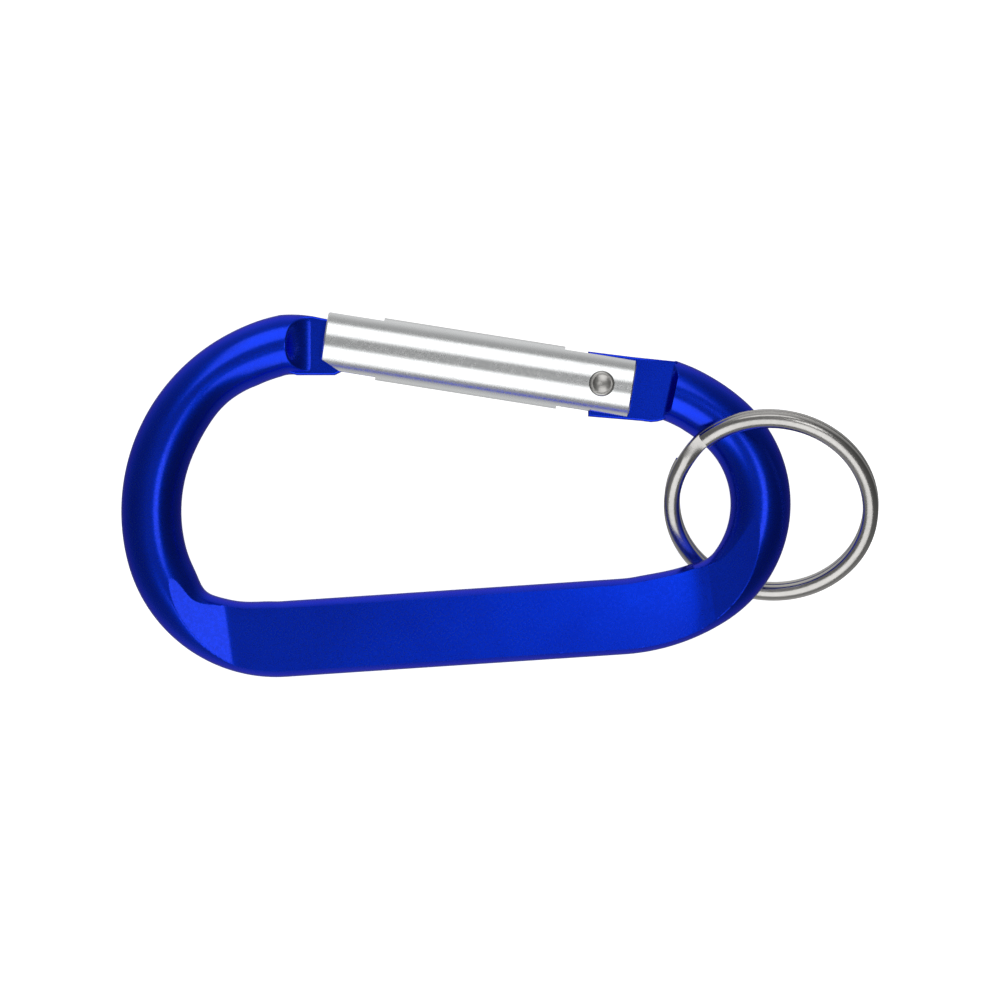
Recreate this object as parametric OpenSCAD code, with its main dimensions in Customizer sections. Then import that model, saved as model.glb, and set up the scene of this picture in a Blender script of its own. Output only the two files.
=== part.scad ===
// Pocket carabiner with a sprung gate and a split ring for keys.
// Lengths are in millimetres. +X runs from the wide end to the ring end, +Y from the spine to the gate,
// +Z out of the face. The frame lies level, and Z = 0 is the lowest point of the split ring.

/* [Frame] */
// rod diameter
rod_d = 6.9; // [5:0.1:8]
// radius of the rod's centreline in the wide bend, gate side
bend_a_r = 19.5; // [16:0.1:23]
// radius of the rod's centreline in the wide bend, spine side
bend_b_r = 14.1; // [11:0.1:17]
// direction of the wide bend's centre-to-rod line where the two radii meet
bend_ab_deg = 195; // [180:1:210]
// slope of the spine, rising towards the ring end
spine_slope = 3.8; // [0:0.1:8]
// length of the straight spine
spine_len = 38.7; // [25:0.1:55]
// radius of the easy bend at the ring end of the spine
bend_c_r = 21.2; // [15:0.1:28]
// radius of the tight bend that holds the split ring
bend_d_r = 12.4; // [9:0.1:16]
// radius of the bend that leads to the gate hinge
bend_e_r = 19.4; // [15:0.1:25]

/* [Pressed spine] */
// thickness of the pressed spine
spine_t = 4.4; // [3:0.1:6]
// width of the pressed spine
spine_w = 8.7; // [7:0.1:11]
// length of each press ramp
ramp_len = 5.9; // [3:0.1:9]
// direction of the press die, from +X
press_dir = 8; // [0:0.5:12]

/* [Blades] */
// thickness of the nose blade and the hinge blade
blade_t = 2.95; // [2:0.05:4]
// radius of the hollow at the foot of the nose blade
nose_fillet = 3.8; // [0.8:0.1:4]
// radius of the hollow at the foot of the hinge blade
hinge_fillet = 2; // [0.8:0.1:2.5]

/* [Gate] */
// gate diameter
gate_d = 7.2; // [6:0.1:9]
// distance from the hinge axis to the latch end of the gate
gate_reach = 32; // [24:0.1:40]
// distance from the hinge axis to the hinge end of the gate
gate_tail = 3.6; // [3:0.1:5]
// fall of the gate towards the hinge when closed
gate_slope = 9; // [0:0.1:15]
// width of the slots in the two ends of the gate
slot_w = 3.15; // [2.2:0.05:4.2]
// depth of the slot at the latch end
nose_slot = 6.4; // [5:0.1:9]
// distance from the hinge axis to the floor of the hinge slot
hinge_floor = 4.7; // [4:0.1:7]
// diameter of the spring bore
bore_d = 4; // [3:0.1:4.5]
// depth of the spring bore below the hinge slot's floor
bore_depth = 13; // [9:0.5:18]

/* [Hinge rivet] */
// rivet diameter in the gate
rivet_d = 2.9; // [2:0.1:3.5]
// rounding of the rivet's rims
rivet_edge = 0.3; // [0.1:0.05:0.5]
// radius of the dish in each end of the rivet
dish_r = 1.9; // [1.7:0.05:2.4]

/* [Gate spring and plunger] */
// plunger diameter
plunger_d = 3.86; // [2.8:0.01:4.3]
// plunger length
plunger_len = 5; // [3:0.1:7]
// plunger travel while the gate opens fully
plunger_travel = 0.7; // [0.3:0.05:1]
// opening angle of the gate
gate_open_deg = 35; // [20:1:40]
// spring wire diameter
spring_wire = 0.5; // [0.3:0.05:0.8]
// number of spring coils
spring_coils = 6; // [4:1:10]

/* [Split ring] */
// outer diameter of the split ring
ring_d = 24.5; // [18:0.1:32]
// radial width of the ring wire
wire_w = 1.8; // [1.2:0.05:2.6]
// thickness of one turn of ring wire
wire_t = 1; // [0.5:0.05:1.4]
// air between the two turns of ring wire
turn_gap = 0.05; // [0.02:0.01:0.2]
// corner radius of the ring wire
wire_r = 0.12; // [0.05:0.01:0.3]
// radius of the crowned outer face of each turn of ring wire
wire_crown = 1.21; // [1.2:0.01:4]
// direction of the axis the ring is tilted about, from +X
ring_dir = -9; // [-40:1:40]
// tilt of the ring out of the frame's plane
ring_tilt = 30; // [25:0.5:90]
// direction of the step between the turns, from the tilt axis
joggle_dir = 141; // [90:1:180]
// angle taken by the step between the turns
joggle_deg = 20; // [12:1:30]

/* [Hidden] */
$fn = 96;

rod_r = rod_d / 2;
// gap left between lengths of rod, which the joint balls fill
joint_gap = 0.12;
// distances from the origin to the two ends of the press flat, along the die
press_a = -32.9;
press_b = 21.1;
blade_h = blade_t / 2;
gate_r = gate_d / 2;
// broken edge at the two ends of the gate
gate_edge = 0.15;

// centre of the wide bend's gate-side arc; every other centre follows from it
bend_a_c = [-20.4, -1.85];
// direction where the wide bend stops and the rod runs level to the nose
nose_deg = 104;
// directions where the ring end's arcs meet, and where the last of them stops inside the hinge blade
bend_cd_deg = 302.8;
bend_de_deg = 48.9;
bend_e_end_deg = 70.5;
// a point on each step from full rod to blade, and the direction from that step towards the gate
nose_step = [-24.95, 17];
nose_step_deg = 0;
hinge_step = [19.7, 11.1];
hinge_step_deg = 168;

// unit vector at an angle, and the centre of the next arc on the same side of the rod
function dir(a) = [cos(a), sin(a)];
function next_c(c, r1, r2, a) = c + (r1 - r2) * dir(a);

spine_deg = 270 + spine_slope;
nose_start = bend_a_c + bend_a_r * dir(nose_deg);
bend_b_c = next_c(bend_a_c, bend_a_r, bend_b_r, bend_ab_deg);
spine_start = bend_b_c + bend_b_r * dir(spine_deg);
spine_end = spine_start + spine_len * dir(spine_slope);
bend_c_c = spine_end - bend_c_r * dir(spine_deg);
bend_d_c = next_c(bend_c_c, bend_c_r, bend_d_r, bend_cd_deg);
bend_e_c = next_c(bend_d_c, bend_d_r, bend_e_r, bend_de_deg);

// hinge axis in the plane of the frame
hinge_c = [11.5, 12.7];
// height of the frame's middle plane
mid_z = 6.225;

// the tilt axis of the ring meets the rod here; the ring's centre is further out along it
ring_axis_c = [29.7, -1];
ring_off = 1.2;
ring_lift = 0.5;
// how much slimmer the step between the turns is than the wire, on each side
step_slim = 0.25;

// cam: distance from hinge axis to plunger tip centre when closed, and its growth per degree
tip_r = 1.85;
cam_base = 3.62 + tip_r;
cam_rate = plunger_travel / gate_open_deg;
cam_gap = 0.03;

// direction of the closed gate, from the hinge to the latch
gate_dir = 180 - gate_slope;

spring_len = bore_depth - (cam_base - tip_r + plunger_len - hinge_floor) - 0.1;

module at_frame() translate([0, 0, mid_z]) children();

module at_gate() translate([hinge_c[0], hinge_c[1], mid_z]) rotate([0, 0, gate_dir]) children();

module at_ring()
    translate([ring_axis_c[0], ring_axis_c[1], mid_z + ring_lift])
    rotate([0, 0, ring_dir])
    rotate([ring_tilt, 0, 0])
    translate([ring_off, 0, 0])
    children();

// a turn of rod about centre c, between two directions; it stops just short of both, inside the joint balls
module rod_arc(c, r, a0, a1) {
    trim = joint_gap / r * 180 / PI;
    translate([c[0], c[1], 0])
        rotate([0, 0, a0 + trim])
        rotate_extrude(angle = a1 - a0 - 2 * trim)
        translate([r, 0])
        circle(d = rod_d);
}

// a straight length of rod from p, running at an angle
module rod_bar(p, a, len)
    translate([p[0], p[1], 0])
    rotate([0, 0, a])
    rotate([0, 90, 0])
    cylinder(d = rod_d, h = len);

// a ball a hair over the rod's size, which joins the rod's lengths at p; its poles lie inside the rod
module rod_joint(p, a) translate([p[0], p[1], 0]) rotate([0, 0, a]) rotate([90, 0, 0]) sphere(r = rod_r + 0.02);

// what a press removes above a flat of half thickness h: ramps rise from x0 and x1 to the rod's full height
module press_pad(x0, x1, h)
    rotate([0, 0, press_dir])
    rotate([90, 0, 0])
    linear_extrude(height = 24)
    polygon([
        [x0 - ramp_len, rod_r + 0.01],
        [x0, h],
        [x1, h],
        [x1 + ramp_len, rod_r + 0.01],
        [x1 + ramp_len, rod_r + 3],
        [x0 - ramp_len, rod_r + 3]
    ]);

// what is removed above a blade that starts at p and runs at an angle, with a hollow of radius f at its foot
module blade_pad(p, a, f)
    translate([p[0], p[1], 0])
    rotate([0, 0, a])
    rotate([90, 0, 0])
    linear_extrude(height = 12, center = true)
    union() {
        translate([f, blade_h]) square([9, 5]);
        translate([0, blade_h + f]) square([9, 5]);
        translate([f, blade_h + f]) circle(r = f);
    }

// both sides of the frame are pressed alike
module both_faces() {
    children();
    mirror([0, 0, 1]) children();
}

// widening of the pressed spine: two more rods, one along its inner edge and one across the inner corner
module spine_inner() {
    inward = (spine_w - rod_d) * -dir(spine_deg);
    rod_bar(spine_start + inward - 7.1 * dir(spine_slope), spine_slope, spine_len + 15.9);
    corner = spine_start + inward - 8.75 * dir(spine_slope) - 1.35 * dir(spine_deg);
    rod_bar(corner, -14, 7.5);
}

// nose blade: the root in the frame's plane, and the tongue that enters the latch slot
module nose_blade() {
    translate([0, 0, -blade_h])
        linear_extrude(height = blade_t)
        polygon([
            [-24.9, 20.2], [-23.4, 20.45], [-21.5, 20.32], [-18.2, 19.95],
            [-18.2, 13.8], [-19.2, 13.72], [-23.3, 13.72], [-24.9, 14.2]
        ]);
    translate([hinge_c[0], hinge_c[1], -blade_h])
        rotate([0, 0, gate_dir])
        linear_extrude(height = blade_t)
        polygon([
            [32.6, -2.5], [27.6, -2.5], [26.05, 0.8], [25.7, 3.05],
            [29.5, 3.2], [30.2, 3.9], [32.6, 4.35]
        ]);
}

// hinge blade outline, with the cam end that pushes the plunger back
module hinge_blade() {
    translate([0, 0, -blade_h])
        linear_extrude(height = blade_t)
        polygon([
            [10.0, 16.4], [15.3, 15.65], [20.4, 14.95],
            [19.3, 9.0], [18.6, 8.6], [17.9, 8.42], [17.2, 8.35], [16.0, 8.5], [10.0, 9.0]
        ]);
    translate([hinge_c[0], hinge_c[1], -blade_h])
        rotate([0, 0, gate_dir])
        linear_extrude(height = blade_t)
        cam_outline();
}

// cam outline about the hinge axis: its offset from the tip centre's path is the tip radius plus a gap
function tip_path(a) = cam_base + cam_rate * max(0, min(a, gate_open_deg + 6));
function cam_slope(a) = (a < 0 || a > gate_open_deg + 6) ? 0 : cam_rate * 180 / PI;
function cam_point(a) =
    let (r = tip_path(a), k = cam_slope(a), n = sqrt(r * r + k * k), t = tip_r + cam_gap)
    r * dir(a) - t / n * (r * dir(a) - k * dir(a + 90));

module cam_outline()
    polygon(concat([[0, 3], [-2, 0], [0, -3]], [for (a = [-54:4:38]) cam_point(a)]));

module frame() color([0.02, 0.1, 0.75]) at_frame()
    difference() {
        union() {
            difference() {
                union() {
                    rod_bar(nose_start + [joint_gap, 0], 0, 3.9);
                    rod_arc(bend_a_c, bend_a_r, nose_deg, bend_ab_deg);
                    rod_arc(bend_b_c, bend_b_r, bend_ab_deg, spine_deg);
                    rod_bar(spine_start + joint_gap * dir(spine_slope), spine_slope, spine_len - 2 * joint_gap);
                    rod_arc(bend_c_c, bend_c_r, spine_deg, bend_cd_deg);
                    rod_arc(bend_d_c, bend_d_r, bend_cd_deg, bend_de_deg + 360);
                    rod_arc(bend_e_c, bend_e_r, bend_de_deg, bend_e_end_deg);
                    rod_joint(nose_start, 97);
                    rod_joint(bend_a_c + bend_a_r * dir(bend_ab_deg), bend_ab_deg);
                    rod_joint(spine_start, spine_deg);
                    rod_joint(spine_end, spine_deg);
                    rod_joint(bend_c_c + bend_c_r * dir(bend_cd_deg), bend_cd_deg);
                    rod_joint(bend_d_c + bend_d_r * dir(bend_de_deg), bend_de_deg);
                    spine_inner();
                }
                both_faces() {
                    press_pad(press_a, press_b, spine_t / 2);
                    blade_pad(nose_step, nose_step_deg, nose_fillet);
                    blade_pad(hinge_step, hinge_step_deg, hinge_fillet);
                }
            }
            nose_blade();
            hinge_blade();
        }
        translate([hinge_c[0], hinge_c[1], -5]) cylinder(d = rivet_d + 0.1, h = 10);
    }

// gate rod, turned end profiles, slotted at both ends, bored from the hinge end for its spring
module gate() color([0.85, 0.86, 0.88]) at_gate()
    difference() {
        rotate([0, 90, 0])
            rotate_extrude()
            polygon([
                [0, -gate_tail], [gate_r - gate_edge, -gate_tail], [gate_r, gate_edge - gate_tail],
                [gate_r, gate_reach - gate_edge], [gate_r - gate_edge, gate_reach], [0, gate_reach]
            ]);
        translate([gate_reach - nose_slot, -5, -slot_w / 2]) cube([nose_slot + 1, 10, slot_w]);
        translate([-gate_tail - 1, -5, -slot_w / 2]) cube([gate_tail + 1 + hinge_floor, 10, slot_w]);
        translate([hinge_floor - 1, 0, 0]) rotate([0, 90, 0]) cylinder(d = bore_d, h = bore_depth + 1);
        translate([0, 0, -5]) cylinder(d = rivet_d, h = 10);
        translate([gate_reach, 2.2, -5]) rotate([0, 0, 65]) translate([0, -4, 0]) cube([4, 14, 10]);
    }

// rivet with a rounded rim and a dish at each end
module hinge_rivet() color([0.7, 0.7, 0.7]) at_gate() {
    r = rivet_d / 2;
    h = gate_r - 0.1;
    rotate_extrude()
        difference() {
            union() {
                translate([0, -h]) square([r - rivet_edge, 2 * h]);
                translate([0, rivet_edge - h]) square([r, 2 * (h - rivet_edge)]);
                for (y = [-1, 1]) translate([r - rivet_edge, y * (h - rivet_edge)]) circle(r = rivet_edge);
            }
            for (y = [-1, 1]) translate([0, y * (h + 1.6)]) circle(r = dish_r);
        }
}

// centre of the helix at a turn angle, the first and last coils closed
function coil_x(a) = spring_wire / 2 + (spring_len - spring_wire) * a / (360 * spring_coils);

module gate_spring() color([0.6, 0.6, 0.62]) at_gate() {
    steps = 16 * spring_coils;
    sides = 6;
    coil_r = bore_d / 2 - spring_wire / 2 - 0.1;
    x0 = hinge_floor + bore_depth - spring_len;
    pts = [for (i = [0:steps]) let (a = 360 * spring_coils * i / steps)
        for (j = [0:sides - 1]) let (b = 360 * j / sides, r = coil_r + spring_wire / 2 * cos(b))
        [x0 + coil_x(a) + spring_wire / 2 * sin(b), r * cos(a), r * sin(a)]];
    rings = [for (i = [0:steps - 1], j = [0:sides - 1])
        [sides * i + j, sides * i + (j + 1) % sides,
         sides * (i + 1) + (j + 1) % sides, sides * (i + 1) + j]];
    ends = [[for (j = [sides - 1:-1:0]) j], [for (j = [0:sides - 1]) sides * steps + j]];
    polyhedron(points = pts, faces = concat(rings, ends), convexity = 8);
}

module gate_plunger() color([0.55, 0.55, 0.58]) at_gate()
    rotate([0, 90, 0])
    rotate_extrude()
    intersection() {
        union() {
            translate([0, cam_base]) circle(r = tip_r);
            translate([0, cam_base]) square([plunger_d / 2, plunger_len - tip_r]);
        }
        translate([0, cam_base - tip_r]) square([plunger_d / 2, plunger_len]);
    }

// section of one turn of ring wire, centred on the wire and crowned on the side away from the other turn
module wire_section(side)
    intersection() {
        union() {
            square([wire_w - 2 * wire_r, wire_t], center = true);
            square([wire_w, wire_t - 2 * wire_r], center = true);
            for (x = [-1, 1], y = [-1, 1])
                translate([x * (wire_w / 2 - wire_r), y * (wire_t / 2 - wire_r)]) circle(r = wire_r);
        }
        translate([0, side * (wire_t / 2 - wire_crown)]) circle(r = wire_crown);
    }

module split_ring() color([0.75, 0.75, 0.78]) at_ring() rotate([0, 0, joggle_dir]) {
    mid_r = ring_d / 2 - wire_w / 2;
    rise = (wire_t + turn_gap) / 2;
    for (side = [-1, 1])
        rotate([0, 0, joggle_deg])
        rotate_extrude(angle = 360 - joggle_deg)
        translate([mid_r, side * rise])
        wire_section(side);
    // the step: a full-height sector trimmed to a slanting band a little slimmer than the wire
    intersection() {
        rotate([0, 0, -2])
            rotate_extrude(angle = joggle_deg + 4)
            translate([mid_r - wire_w / 2 + step_slim, -2 * rise])
            square([wire_w - 2 * step_slim, 4 * rise]);
        rotate([0, 0, joggle_deg / 2])
            rotate([0, 90, 0])
            rotate([0, 0, 90])
            linear_extrude(height = ring_d)
            joggle_band(rise, (mid_r + wire_w / 2) * sin(joggle_deg / 2), wire_t / 2 - 0.8 * step_slim);
    }
}

// side view of the step, h thick either side of a line that climbs by twice the rise over its length
module joggle_band(rise, half, h)
    polygon([
        [-half - 1, -rise - h], [-half, -rise - h],
        [half, rise - h], [half + 1, rise - h],
        [half + 1, rise + h], [half, rise + h],
        [-half, -rise + h], [-half - 1, -rise + h]
    ]);

frame();
gate();
hinge_rivet();
gate_spring();
gate_plunger();
split_ring();
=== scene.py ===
import bpy
import bmesh
import math
from mathutils import Matrix, Vector


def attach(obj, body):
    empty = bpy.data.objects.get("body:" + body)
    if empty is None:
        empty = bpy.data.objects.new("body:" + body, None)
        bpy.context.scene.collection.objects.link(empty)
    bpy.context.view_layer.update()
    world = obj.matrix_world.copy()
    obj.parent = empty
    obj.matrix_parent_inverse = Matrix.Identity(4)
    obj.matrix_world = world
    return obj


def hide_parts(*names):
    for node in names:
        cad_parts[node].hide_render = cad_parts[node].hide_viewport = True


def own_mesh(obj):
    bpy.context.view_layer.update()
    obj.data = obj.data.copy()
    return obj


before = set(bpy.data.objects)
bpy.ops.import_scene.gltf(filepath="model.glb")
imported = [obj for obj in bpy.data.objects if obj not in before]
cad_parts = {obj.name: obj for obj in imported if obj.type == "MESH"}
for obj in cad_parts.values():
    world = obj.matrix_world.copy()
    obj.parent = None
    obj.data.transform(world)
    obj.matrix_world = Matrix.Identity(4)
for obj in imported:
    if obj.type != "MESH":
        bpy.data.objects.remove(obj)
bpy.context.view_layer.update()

# Lengths are in millimetres and angles in degrees, as in the CAD, until MM turns them into metres.
MM = 0.001


def direction(a):
    """Unit vector in the frame's plane, at an angle from +X towards +Y."""
    return Vector((math.cos(math.radians(a)), math.sin(math.radians(a))))


def smoothstep(a, b, x):
    t = max(0.0, min(1.0, (x - a) / (b - a)))
    return t * t * (3 - 2 * t)


def soft_min(a, b, k):
    return 0.5 * (a + b - math.sqrt((a - b) ** 2 + k * k))


def soft_max(a, b, k):
    return 0.5 * (a + b + math.sqrt((a - b) ** 2 + k * k))


# ------------------------------------------------------------------ sizes shared with the CAD
MID_Z = 6.225         # height of the frame's middle plane
ROD_R = 3.44
BLADE_H = 1.475       # half thickness of the two blades
SPINE_H = 2.2         # half thickness of the pressed spine
HINGE = (11.5, 12.7)
GATE_DIR = 171.0      # the way the shut gate points from its hinge

# The rod's centreline: the nose's small arc N, then arcs A and B round the wide bend, the straight spine,
# and arcs C, D and E round to the hinge. _C is an arc's centre and _R its radius.
SLOPE = 3.8
SPINE_N = 270 + SLOPE
SPINE_LEN = 38.7
NOSE_END, AB, CD, DE = 104, 195, 302.8, 48.9    # where one arc hands over to the next
A_C, A_R = Vector((-20.4, -1.85)), 19.5
B_R, C_R, D_R, E_R, N_R = 14.1, 21.2, 12.4, 19.4, 5.0
N_C = A_C + (A_R - N_R) * direction(NOSE_END)
B_C = A_C + (A_R - B_R) * direction(AB)
SPINE_A = B_C + B_R * direction(SPINE_N)
SPINE_B = SPINE_A + SPINE_LEN * direction(SLOPE)
C_C = SPINE_B - C_R * direction(SPINE_N)
D_C = C_C + (C_R - D_R) * direction(CD)
E_C = D_C + (D_R - E_R) * direction(DE)

# The press: a flat between two ramps, measured along PRESS_DIR
PRESS_DIR = direction(8)
PRESS_A, PRESS_B = -32.9, 21.1
RAMP_RUN = 5.9
RAMP = (ROD_R - SPINE_H) / RAMP_RUN
PRESS_WIDENS = 1.8    # how far the press pushes the spine's metal out on its inner side
DEEPEST_DIP = 0.34

# The blades' steps: how far along they stand, and the hollow at each blade's foot
NOSE_X, NOSE_FILLET = -24.95, 4.0
HINGE_STEP, HINGE_RUN, HINGE_FILLET = Vector((19.7, 11.1)), direction(168), 2.0
HINGE_STEP_DEG = 78.0
FOOT_H = BLADE_H - 0.06    # the rod ends just under the blades' flats
NO_LIMIT = 9.0             # a height that no part of the rod reaches


# ------------------------------------------------------------------ the frame's rod
def press_height(q):
    """Half thickness under the press: a flat between two ramps, dipping faintly towards the ring end."""
    u = q.dot(PRESS_DIR)
    across = (q - SPINE_A).dot(direction(SPINE_N))
    ramp = RAMP * (soft_max(PRESS_A - u, 0.0, 0.3) + soft_max(u - PRESS_B, 0.0, 1.3))
    dip = 0.00015 * max(0.0, u + 12) ** 2 + 0.0007 * max(0.0, u - 6) ** 2 + 0.0022 * max(0.0, across + 4.5) ** 2
    return SPINE_H + ramp - min(dip, DEEPEST_DIP)


def foot_height(t, f):
    """Half thickness at a distance t past a step, with a hollow of radius f at the blade's foot."""
    if t <= 0:
        return NO_LIMIT
    if t >= f:
        return FOOT_H
    return FOOT_H + f - math.sqrt(max(0.0, f * f - (f - t) ** 2))


def near_blades(q):
    """True on the gate's side of the frame, where the steps shape the rod instead of the press."""
    return q.y > 5


def limit(q):
    """How high the rod may stand at a point of the frame's plane."""
    if near_blades(q):
        if q.x < 0:
            return foot_height(q.x - NOSE_X, NOSE_FILLET)
        return foot_height((q - HINGE_STEP).dot(HINGE_RUN), HINGE_FILLET)
    if q.dot(direction(98)) < 0:
        return press_height(q)
    return NO_LIMIT


def stations():
    """(centre, outward direction, stretch, extra width on the inner side) along the rod, nose first."""
    out = []
    coarse, medium, fine = 0.25, 0.15, 0.06

    def arc(c, r, a0, a1, extra=lambda a: 0.0, stride=coarse, lean=lambda a: 0.0):
        n = max(2, int(abs(a1 - a0) * math.pi / 180 * r / stride))
        for i in range(n):
            a = a0 + (a1 - a0) * i / n
            w = lean(a)
            out.append((c + r * direction(a), direction(a + w), 1 / math.cos(math.radians(w)), extra(a)))

    # the nose's straight end, whose outer side drops a little to meet the tongue's edge
    top = N_C + N_R * direction(90)
    x = NOSE_X + NOSE_FILLET - 0.6
    while x > top.x:
        drop = 0.034 * (x - top.x) ** 2
        out.append((Vector((x, top.y - drop)), Vector((0, 1)), 1.0, -drop))
        x -= fine

    # the sections stand parallel to each step where they cross it
    def upright(a):
        return (90 - a) * (1 - smoothstep(109, 121, a))

    def along_hinge_step(a):
        return (HINGE_STEP_DEG - a) * smoothstep(58, 64, a)

    # the wide bend is a little thinner on its inner side, and the press widens the spine on its own
    def thin(a):
        return -0.4 * math.exp(-((a - 131) / 14) ** 2)

    def widening(a):
        return PRESS_WIDENS * smoothstep(222, 268, a) - 0.45 * math.exp(-((a - 223) / 9) ** 2)

    def narrowing(a):
        return PRESS_WIDENS * (1 - smoothstep(281, 322, a))

    arc(N_C, N_R, 90, NOSE_END, stride=fine, lean=upright)
    arc(A_C, A_R, NOSE_END, 109, thin, fine, upright)
    arc(A_C, A_R, 109, AB, thin, lean=upright)
    arc(B_C, B_R, AB, SPINE_N, widening, medium)
    n = int(SPINE_LEN / coarse)
    for i in range(n):
        at = SPINE_A + SPINE_LEN * i / n * direction(SLOPE)
        out.append((at, direction(SPINE_N), 1.0, PRESS_WIDENS))
    arc(C_C, C_R, SPINE_N, CD, narrowing, medium)
    arc(D_C, D_R, CD, 360 + DE, narrowing)
    arc(E_C, E_R, DE, 63.5, lean=along_hinge_step)
    arc(E_C, E_R, 63.5, 70.5, stride=fine, lean=along_hinge_step)
    return out


def loft(bm, rings):
    """Skin a row of vertex rings, all of one count, and close its two ends."""
    n = len(rings[0])
    for a, b in zip(rings, rings[1:]):
        for j in range(n):
            k = (j + 1) % n
            bm.faces.new((a[j], a[k], b[k], b[j]))
    bm.faces.new(rings[0])
    bm.faces.new(list(reversed(rings[-1])))


def rod_mesh(bm):
    around = 192
    pitch = 2 * math.pi / around
    rings = []
    for p, n, stretch, extra in stations():
        def place(b):
            """Where the section's line stands at an angle round it, its height, and how high it may be."""
            c = math.cos(b)
            q = p + n * ((ROD_R * c - extra * smoothstep(0.7, -0.7, c)) * stretch)
            return q, ROD_R * abs(math.sin(b)), limit(q)

        angles = [pitch * j for j in range(around)]
        # a vertex stands right on the edge of a pressed face, so the edge stays crisp
        for j in range(around):
            lo, hi = pitch * j, pitch * (j + 1)
            q, z, high = place(lo)
            z_next, high_next = place(hi)[1:]
            if near_blades(q) or (z > high) == (z_next > high_next):
                continue
            first = z > high
            for _ in range(12):
                mid = 0.5 * (lo + hi)
                z, high = place(mid)[1:]
                lo, hi = (mid, hi) if (z > high) == first else (lo, mid)
            angles[round(lo / pitch) % around] = lo
        ring = []
        for b in angles:
            q, z, high = place(b)
            if high < NO_LIMIT:
                z = soft_min(z, high, 0.16) if near_blades(q) else min(z, high)
            z = math.copysign(max(z, 0.0), math.sin(b))
            ring.append(bm.verts.new((q.x * MM, q.y * MM, (MID_Z + z) * MM)))
        rings.append(ring)
    loft(bm, rings)


# ------------------------------------------------------------------ the frame's blades
def plate_mesh(bm, points, half, edge):
    """A flat plate with rounded edges, from its outline."""
    part = bmesh.new()
    low = [part.verts.new((x * MM, y * MM, (MID_Z - half) * MM)) for x, y in points]
    face = part.faces.new(low)
    got = bmesh.ops.extrude_face_region(part, geom=[face])
    up = [v for v in got["geom"] if isinstance(v, bmesh.types.BMVert)]
    bmesh.ops.translate(part, verts=up, vec=(0, 0, 2 * half * MM))
    bmesh.ops.recalc_face_normals(part, faces=part.faces)
    flat = [e for e in part.edges if abs(e.verts[0].co.z - e.verts[1].co.z) < 1e-7]
    bmesh.ops.bevel(part, geom=flat, offset=edge * MM, segments=4, profile=0.5, affect="EDGES",
                    clamp_overlap=True)
    tmp = bpy.data.meshes.new("tmp_plate")
    part.to_mesh(tmp)
    part.free()
    bm.from_mesh(tmp)
    bpy.data.meshes.remove(tmp)


def in_gate(u, v):
    """Point u along the gate from the hinge and v towards the inside, in the frame's plane."""
    d, e = direction(GATE_DIR), direction(GATE_DIR + 90)
    return (HINGE[0] + u * d.x + v * e.x, HINGE[1] + u * d.y + v * e.y)


def cam_points():
    """The hinge blade's cam end, as in the CAD: it pushes the plunger's round nose back as the gate opens."""
    nose_r, base, rise, gap, opening = 1.85, 5.47, 0.02, 0.03, 41.0
    out = []
    for a in range(-54, 39, 4):
        r = base + rise * max(0.0, min(a, opening))
        k = 0.0 if a < 0 or a > opening else rise * 180 / math.pi
        n = math.sqrt(r * r + k * k)
        e, f = direction(a), direction(a + 90)
        q = r * e - (nose_r + gap) / n * (r * e - k * f)
        out.append(in_gate(q.x, q.y))
    return out


TONGUE = [(-24.9, 20.0), (-23.4, 20.4), (-21.5, 20.44), (-20.2, 20.17), (-16.0, 19.4), (-14.35, 16.0),
          (-14.36, 13.7), (-18.1, 14.15), (-18.95, 13.72), (-23.3, 13.72), (-24.9, 14.2)]
HINGE_BLADE = [(10.0, 16.4), (15.3, 15.75), (20.2, 15.25), (19.3, 9.0), (18.6, 8.6), (17.9, 8.42),
               (17.2, 8.35), (16.0, 8.5), (10.0, 9.0)]


def finish_mesh(name, bm, body, material, angle=35):
    """Turn the mesh under construction into a named piece that rides on a body."""
    mesh = bpy.data.meshes.new(name)
    bmesh.ops.recalc_face_normals(bm, faces=bm.faces)
    bm.to_mesh(mesh)
    bm.free()
    mesh.shade_smooth()
    mesh.set_sharp_from_angle(angle=math.radians(angle))
    # the flat plates keep their flat shading: their outlines are creases
    for face in mesh.polygons:
        if len(face.vertices) > 4:
            for i in face.loop_indices:
                mesh.edges[mesh.loops[i].edge_index].use_edge_sharp = True
    obj = bpy.data.objects.new(name, mesh)
    bpy.context.scene.collection.objects.link(obj)
    obj.data.materials.append(material)
    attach(obj, body)
    return obj


# ------------------------------------------------------------------ materials
def node(tree, kind, **values):
    n = tree.nodes.new(kind)
    for key, value in values.items():
        setattr(n, key, value)
    return n


def math_node(tree, operation, a, b):
    """A sum over two sockets or plain numbers."""
    n = node(tree, "ShaderNodeMath", operation=operation)
    for socket, value in zip(n.inputs, (a, b)):
        if isinstance(value, (int, float)):
            socket.default_value = value
        else:
            tree.links.new(value, socket)
    return n.outputs["Value"]


def map_range(tree, value, from_min, from_max, to_min=0.0, to_max=1.0):
    n = node(tree, "ShaderNodeMapRange")
    n.inputs["From Min"].default_value = from_min
    n.inputs["From Max"].default_value = from_max
    n.inputs["To Min"].default_value = to_min
    n.inputs["To Max"].default_value = to_max
    tree.links.new(value, n.inputs["Value"])
    return n.outputs["Result"]


def noise(tree, where, scale, detail):
    n = node(tree, "ShaderNodeTexNoise")
    n.inputs["Scale"].default_value = scale
    n.inputs["Detail"].default_value = detail
    tree.links.new(where, n.inputs["Vector"])
    return n.outputs["Fac"]


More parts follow.
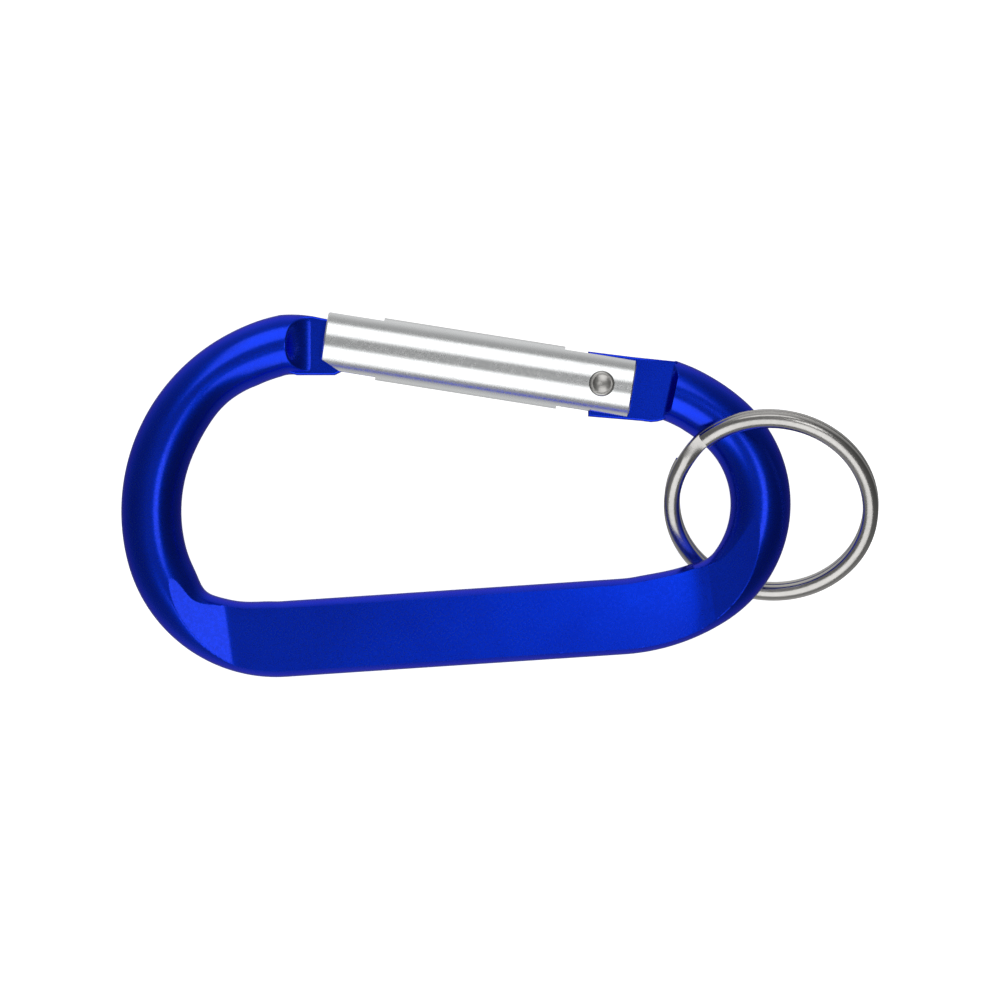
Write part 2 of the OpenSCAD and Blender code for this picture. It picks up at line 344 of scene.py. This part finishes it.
def faint_bow(tree, where):
    """The pressed faces' bow, as a slope of the surface too slight to model; nothing elsewhere."""
    start, lean, depth = 0.0072, 0.7, 0.227
    place = node(tree, "ShaderNodeSeparateXYZ")
    tree.links.new(where, place.inputs["Vector"])
    geometry = node(tree, "ShaderNodeNewGeometry")
    facing = node(tree, "ShaderNodeSeparateXYZ")
    tree.links.new(geometry.outputs["True Normal"], facing.inputs["Vector"])

    # only where the surface is level and at the pressed faces' height
    above_middle = math_node(tree, "SUBTRACT", place.outputs["Z"], MID_Z * MM)
    height = math_node(tree, "ABSOLUTE", above_middle, 0)
    upright = math_node(tree, "ABSOLUTE", facing.outputs["Z"], 0)
    level = math_node(tree, "GREATER_THAN", upright, 0.985)
    over = math_node(tree, "GREATER_THAN", height, 0.0017)
    under = math_node(tree, "LESS_THAN", height, 0.00221)
    band = math_node(tree, "MULTIPLY", over, under)

    skew = math_node(tree, "MULTIPLY", place.outputs["Y"], lean)
    along = math_node(tree, "SUBTRACT", math_node(tree, "ADD", place.outputs["X"], start), skew)
    along = math_node(tree, "MAXIMUM", along, 0)
    bow = node(tree, "ShaderNodeBump")
    bow.inputs["Distance"].default_value = 1.0
    tree.links.new(math_node(tree, "MULTIPLY", level, band), bow.inputs["Strength"])
    curve = math_node(tree, "POWER", along, 1.5)
    tree.links.new(math_node(tree, "MULTIPLY", curve, -depth), bow.inputs["Height"])
    return bow.outputs["Normal"]


def metal(name, colour, dark, rough, rough_swing, grain, bump, coat=0.0, coat_rough=0.1, rim=(1, 1, 1),
          bowed=False):
    """Metal whose colour, roughness and surface all carry fine grain."""
    m = bpy.data.materials.new(name)
    m.use_nodes = True
    t = m.node_tree
    t.nodes.clear()
    out = node(t, "ShaderNodeOutputMaterial")
    b = node(t, "ShaderNodeBsdfPrincipled")
    b.inputs["Metallic"].default_value = 1.0
    b.inputs["Coat Weight"].default_value = coat
    b.inputs["Coat Roughness"].default_value = coat_rough
    # Specular Tint is the edge tint at grazing angles: a rim value below white darkens the grazing rims as
    # painted shade
    b.inputs["Specular Tint"].default_value = (*rim, 1)

    where = node(t, "ShaderNodeTexCoord").outputs["Object"]
    fine = noise(t, where, grain, 5.0)
    broad = noise(t, where, grain / 14, 2.0)
    mix = node(t, "ShaderNodeMix", data_type="RGBA")
    mix.inputs["A"].default_value = (*dark, 1)
    mix.inputs["B"].default_value = (*colour, 1)
    t.links.new(map_range(t, broad, 0.3, 0.6), mix.inputs["Factor"])
    t.links.new(mix.outputs["Result"], b.inputs["Base Color"])
    swing = map_range(t, fine, 0.3, 0.7, rough - rough_swing, rough + rough_swing)
    t.links.new(swing, b.inputs["Roughness"])

    lift = node(t, "ShaderNodeBump")
    lift.inputs["Strength"].default_value = bump
    lift.inputs["Distance"].default_value = 0.00002
    t.links.new(fine, lift.inputs["Height"])
    if bowed:
        t.links.new(faint_bow(t, where), lift.inputs["Normal"])
    t.links.new(lift.outputs["Normal"], b.inputs["Normal"])
    t.links.new(b.outputs["BSDF"], out.inputs["Surface"])
    return m


# the blue's dark rim tint is painted shade: it darkens the rod's grazing rims in place of the shade from nearby
# parts and surroundings
BLUE = metal("blue_anodised", colour=(0.0, 0.037, 0.80), dark=(0.0, 0.032, 0.74), rough=0.28, rough_swing=0.03,
             grain=2600, bump=0.10, coat=0.25, coat_rough=0.15, rim=(0.30, 0.35, 0.50), bowed=True)
GATE = metal("gate_aluminium", colour=(0.90, 0.915, 0.92), dark=(0.87, 0.885, 0.89), rough=0.26,
             rough_swing=0.03, grain=2200, bump=0.06)
STEEL = metal("rivet_steel", colour=(0.62, 0.61, 0.59), dark=(0.52, 0.51, 0.49), rough=0.36, rough_swing=0.05,
              grain=3000, bump=0.2)
NICKEL = metal("ring_nickel", colour=(0.55, 0.54, 0.525), dark=(0.47, 0.46, 0.445), rough=0.23,
               rough_swing=0.04, grain=2400, bump=0.12)
SPRING = metal("spring_steel", colour=(0.50, 0.50, 0.50), dark=(0.42, 0.42, 0.42), rough=0.30,
               rough_swing=0.05, grain=2400, bump=0.15)

# ------------------------------------------------------------------ frame
bm = bmesh.new()
rod_mesh(bm)
plate_mesh(bm, TONGUE, BLADE_H, 0.2)
plate_mesh(bm, HINGE_BLADE, BLADE_H, 0.2)
plate_mesh(bm, cam_points() + [in_gate(-3.0, 0)], BLADE_H - 0.01, 0.1)
body_rod = finish_mesh("carabiner_frame", bm, "frame_body", BLUE)
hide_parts("frame")

# ------------------------------------------------------------------ split ring
RING_D, WIRE_W, WIRE_T, TURN_GAP = 24.5, 1.8, 1.0, 0.05
WIRE_CROWN, WIRE_CORNER = 1.21, 0.1
FREE_END, STEP_DEG, STEP_HALF = 20, 370, 11    # where the wire starts, and where it climbs to the upper turn
RING_AT = Matrix.Translation((29.7, -1.0, MID_Z + 0.5)) @ Matrix.Rotation(math.radians(-9), 4, "Z") \
    @ Matrix.Rotation(math.radians(30), 4, "X") @ Matrix.Translation((1.2, 0, 0)) \
    @ Matrix.Rotation(math.radians(141), 4, "Z")


def wire_outline():
    """Section of one turn, crowned on top and flat below: (radial, axial)."""
    top = []
    for a in range(45, 136, 5):
        d = direction(a)
        top.append((WIRE_CROWN * d.x, WIRE_T / 2 - WIRE_CROWN + WIRE_CROWN * d.y))
    low = []
    for side, a0 in ((-1, 180), (1, 270)):
        for i in range(5):
            d = direction(a0 + 22.5 * i)
            low.append((side * (WIRE_W / 2 - WIRE_CORNER) + WIRE_CORNER * d.x,
                        WIRE_CORNER - WIRE_T / 2 + WIRE_CORNER * d.y))
    edge = (WIRE_W / 2 - 0.01, 0.06)
    return [edge] + top + [(-edge[0], edge[1])] + low


def lower_face(w, h):
    """The point of the lower turn's section that becomes (w, h) of the upper turn's along the step."""
    if h > 0:
        edge = max(0.0, abs(w) - (WIRE_W / 2 - WIRE_CORNER))
        return (w, WIRE_T / 2 - WIRE_CORNER + math.sqrt(max(0.0, WIRE_CORNER ** 2 - edge ** 2)))
    return (w, max(h, -(WIRE_T / 2 - WIRE_CROWN + math.sqrt(WIRE_CROWN ** 2 - w * w))))


def ring_mesh(bm):
    mid = RING_D / 2 - WIRE_W / 2
    rise = (WIRE_T + TURN_GAP) / 2
    outline = wire_outline()
    # the lower turn is crowned underneath: the same section with each point's opposite number below it
    turned = [lower_face(w, h) for w, h in outline]
    # from the free end under the step, once round, up the step, and once round again
    stride, trim = 1.5, 0.3
    count = int((720 - FREE_END) / stride)
    angles = [FREE_END + trim] + [FREE_END + stride * i for i in range(1, count + 1)] + [720 - trim]
    rings = []
    for a in angles:
        d = direction(a)
        up = smoothstep(STEP_DEG - STEP_HALF, STEP_DEG + STEP_HALF, a)
        ring = []
        for (w, h), (v_w, v_h) in zip(outline, turned):
            w, h = v_w + (w - v_w) * up, v_h + (h - v_h) * up
            v = RING_AT @ Vector(((mid + w) * d.x, (mid + w) * d.y, (2 * up - 1) * rise + h))
            ring.append(bm.verts.new(v * MM))
        rings.append(ring)
    loft(bm, rings)


bm = bmesh.new()
ring_mesh(bm)
ring = finish_mesh("key_ring", bm, "ring_body", NICKEL, 50)
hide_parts("split_ring")

# ------------------------------------------------------------------ spring in the gate's bore
SPRING_END, SPRING_LEN, PLUNGER_TRAVEL = 17.7, 8.98, 0.7
SPRING_WIRE_R, COIL_R, COILS = 0.25, 1.65, 6


def spring_mesh(bm):
    """Coils of round wire, ending at the blind end of the bore."""
    sides, steps = 12, 40 * COILS
    d, e = direction(GATE_DIR), direction(GATE_DIR + 90)
    rings = []
    for i in range(steps + 1):
        turn = direction(360 * COILS * i / steps)
        along = SPRING_END - SPRING_LEN + SPRING_WIRE_R + (SPRING_LEN - 2 * SPRING_WIRE_R) * i / steps
        ring = []
        for j in range(sides):
            b = direction(360 * j / sides)
            r, u = COIL_R + SPRING_WIRE_R * b.x, along + SPRING_WIRE_R * b.y
            x = HINGE[0] + u * d.x + r * turn.x * e.x
            y = HINGE[1] + u * d.y + r * turn.x * e.y
            ring.append(bm.verts.new((x * MM, y * MM, (MID_Z + r * turn.y) * MM)))
        rings.append(ring)
    loft(bm, rings)


bm = bmesh.new()
spring_mesh(bm)
coil = finish_mesh("coil_spring", bm, "gate_body", SPRING, 50)
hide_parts("gate_spring")
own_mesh(coil)

# ------------------------------------------------------------------ the pieces that keep their CAD shape
for name, material in (("gate", GATE), ("hinge_rivet", STEEL), ("gate_plunger", STEEL)):
    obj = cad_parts[name]
    for s in obj.material_slots:
        s.material = material
    if not obj.material_slots:
        obj.data.materials.append(material)

# ------------------------------------------------------------------ table
RING_LOW_X, BEND_LOW_X = 31.0, -40.0    # where the keyring stands on the table, at its two ends
SLANT = math.atan2(MID_Z - ROD_R, RING_LOW_X - BEND_LOW_X)


def floor():
    """The table: it touches the split ring's lowest point and the underside of the wide bend."""
    bm = bmesh.new()
    size, gap = 3.0, 0.00004
    for x, y in ((-size, -size), (size, -size), (size, size), (-size, size)):
        bm.verts.new((x, y, (RING_LOW_X * MM - x) * math.tan(SLANT) - gap))
    bm.faces.new(bm.verts)
    mesh = bpy.data.meshes.new("floor")
    bm.to_mesh(mesh)
    bm.free()
    obj = bpy.data.objects.new("floor", mesh)
    bpy.context.scene.collection.objects.link(obj)
    m = bpy.data.materials.new("floor_white")
    m.use_nodes = True
    b = m.node_tree.nodes["Principled BSDF"]
    b.inputs["Base Color"].default_value = (0.8, 0.8, 0.8, 1)
    b.inputs["Roughness"].default_value = 0.7
    b.inputs["Emission Color"].default_value = (1, 1, 1, 1)
    b.inputs["Emission Strength"].default_value = 0.9
    obj.data.materials.append(m)
    # the bright table isn't mirrored in the metal: the studio's darker surroundings are
    obj.visible_glossy = False


floor()

# ------------------------------------------------------------------ studio light
# brightness of the studio from straight below, past the horizon, to straight overhead
LONG_ENDS = ((0.0, 0.35), (0.15, 0.27), (0.32, 0.19), (0.44, 0.15), (0.55, 0.12), (0.75, 0.12), (0.93, 0.16),
             (1.0, 0.26))
LONG_SIDES = ((0.0, 0.50), (0.15, 0.70), (0.32, 0.55), (0.44, 0.37), (0.55, 0.30), (0.75, 0.18), (0.93, 0.16),
              (1.0, 0.26))


def level_ramp(tree, height, stops):
    n = node(tree, "ShaderNodeValToRGB")
    els = n.color_ramp.elements
    els[0].position, els[0].color = stops[0][0], (*[stops[0][1]] * 3, 1)
    els[1].position, els[1].color = stops[-1][0], (*[stops[-1][1]] * 3, 1)
    for at, level in stops[1:-1]:
        els.new(at).color = (level, level, level, 1)
    tree.links.new(height, n.inputs["Fac"])
    return n.outputs["Color"]


def studio_world():
    """Grey surroundings, darker off the carabiner's two ends than off its long sides."""
    world = bpy.data.worlds.new("studio")
    bpy.context.scene.world = world
    world.use_nodes = True
    t = world.node_tree
    t.nodes.clear()
    out = node(t, "ShaderNodeOutputWorld")
    background = node(t, "ShaderNodeBackground")
    split = node(t, "ShaderNodeSeparateXYZ")
    t.links.new(node(t, "ShaderNodeTexCoord").outputs["Generated"], split.inputs["Vector"])
    x, y = split.outputs["X"], split.outputs["Y"]
    height = map_range(t, split.outputs["Z"], -1.0, 1.0)

    yy = math_node(t, "MULTIPLY", y, y)
    level_sq = math_node(t, "ADD", math_node(t, "ADD", yy, math_node(t, "MULTIPLY", x, x)), 0.02)
    blend = node(t, "ShaderNodeMix", data_type="RGBA")
    t.links.new(math_node(t, "DIVIDE", yy, level_sq), blend.inputs["Factor"])
    t.links.new(level_ramp(t, height, LONG_ENDS), blend.inputs["A"])
    t.links.new(level_ramp(t, height, LONG_SIDES), blend.inputs["B"])

    # a little lighter towards the wide end and the gate
    tint = math_node(t, "ADD", math_node(t, "MULTIPLY", x, -0.3), math_node(t, "MULTIPLY", y, 0.15))
    t.links.new(math_node(t, "ADD", tint, 1.0), background.inputs["Strength"])
    t.links.new(blend.outputs["Result"], background.inputs["Color"])
    t.links.new(background.outputs["Background"], out.inputs["Surface"])


def panel(name, azimuth, tilt, distance, size, radiance):
    """A soft box that faces the object from a compass direction, tilted down from straight overhead."""
    data = bpy.data.lights.new(name, "AREA")
    data.shape = "RECTANGLE"
    data.size, data.size_y = size
    data.energy = radiance * 4 * size[0] * size[1]
    obj = bpy.data.objects.new(name, data)
    d = direction(azimuth)
    t = math.radians(tilt)
    at = Vector((math.sin(t) * d.x, math.sin(t) * d.y, math.cos(t))) * distance
    obj.location = at
    obj.rotation_mode = "QUATERNION"
    obj.rotation_quaternion = (-at).to_track_quat("-Z", "Y")
    bpy.context.scene.collection.objects.link(obj)


studio_world()
panel("strip_right", -5, 17, 0.9, (0.24, 0.28), 1.35)
panel("box_back", 97, 45.5, 0.9, (0.80, 0.76), 0.93)
panel("box_front", -99, 44, 0.9, (0.86, 0.84), 0.98)

# ------------------------------------------------------------------ camera
CAM_DIST = 0.75
PICTURE_WIDTH = 0.11424    # what the picture spans at the frame's middle plane
SENSOR = 36

cam_data = bpy.data.cameras.new("camera")
cam = bpy.data.objects.new("camera", cam_data)
bpy.context.scene.collection.objects.link(cam)
bpy.context.scene.camera = cam
cam_data.sensor_width = SENSOR
cam_data.lens = SENSOR * CAM_DIST / PICTURE_WIDTH
cam_data.clip_start = 0.01
cam.location = (-0.00007, -0.00054, MID_Z * MM + CAM_DIST)
cam.rotation_euler = (0, 0, 0)

view = bpy.context.scene.view_settings
view.view_transform = "Standard"
view.look = "None"
view.exposure = 0.0
